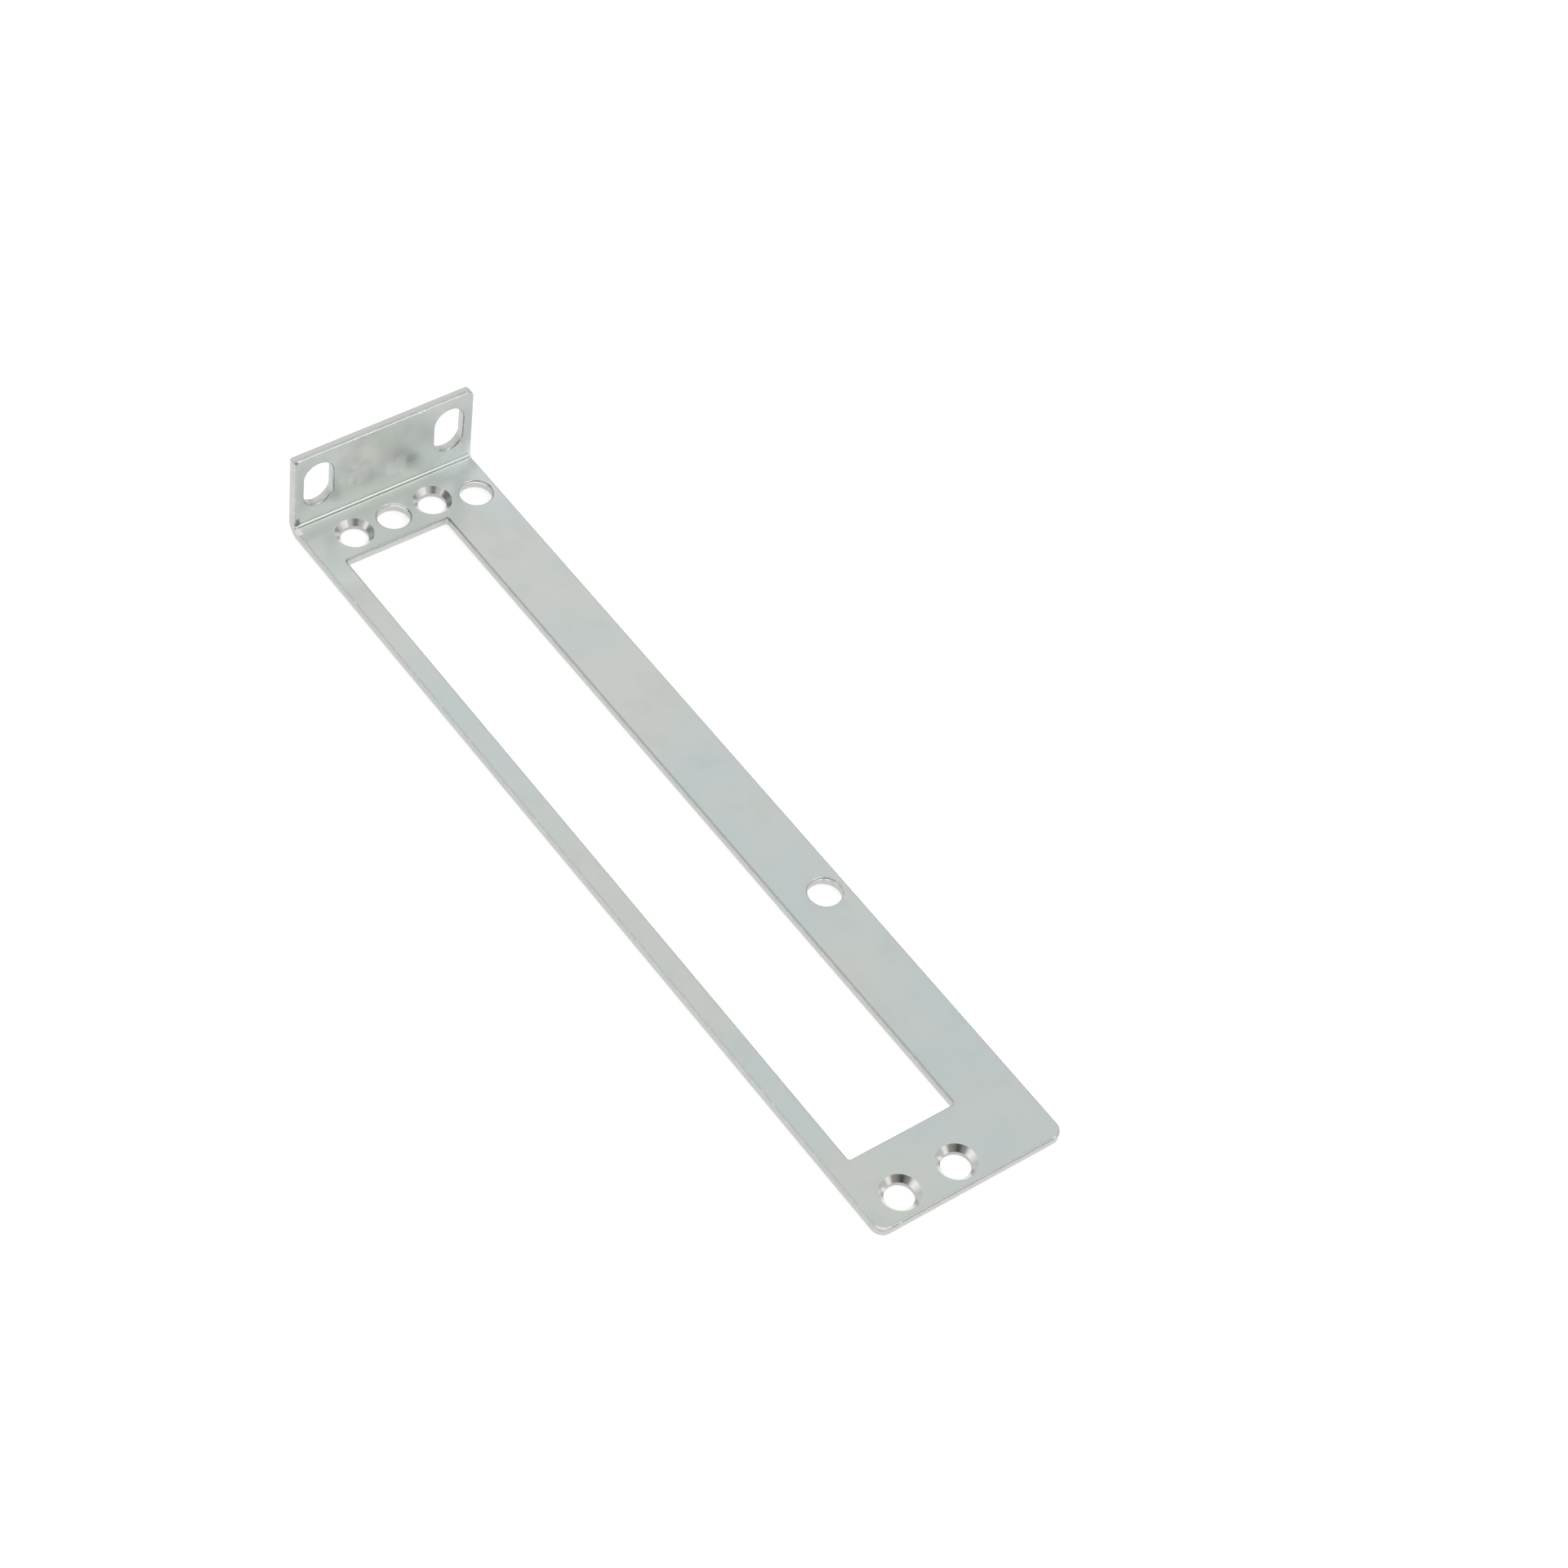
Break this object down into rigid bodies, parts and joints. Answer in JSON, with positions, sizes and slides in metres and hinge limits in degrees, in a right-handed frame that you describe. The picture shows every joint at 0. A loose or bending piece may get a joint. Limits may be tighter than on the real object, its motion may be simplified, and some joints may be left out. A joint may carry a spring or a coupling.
{
  "type": "rack mount ear bracket",
  "caption": "L-shaped sheet steel ear for mounting equipment in a rack: a long plate with an open window, countersunk screw holes and a short folded tab with upright slots.",
  "frame": {"origin": "middle of the bracket's outline, on the outer face of the plate, which lies on the side of the equipment", "axes": "+X along the plate, from the tab to the free end; +Y across the plate, from the narrow strip to the wide strip; +Z the way the tab is folded"},
  "size_m": [0.2076, 0.0434, 0.0212],
  "materials": {
    "zinc_plated_steel": "bright zinc plating on smooth sheet, satin"
  },
  "bodies": {
    "root": {"rack_ear": "zinc_plated_steel"}
  },
  "joints": []
}
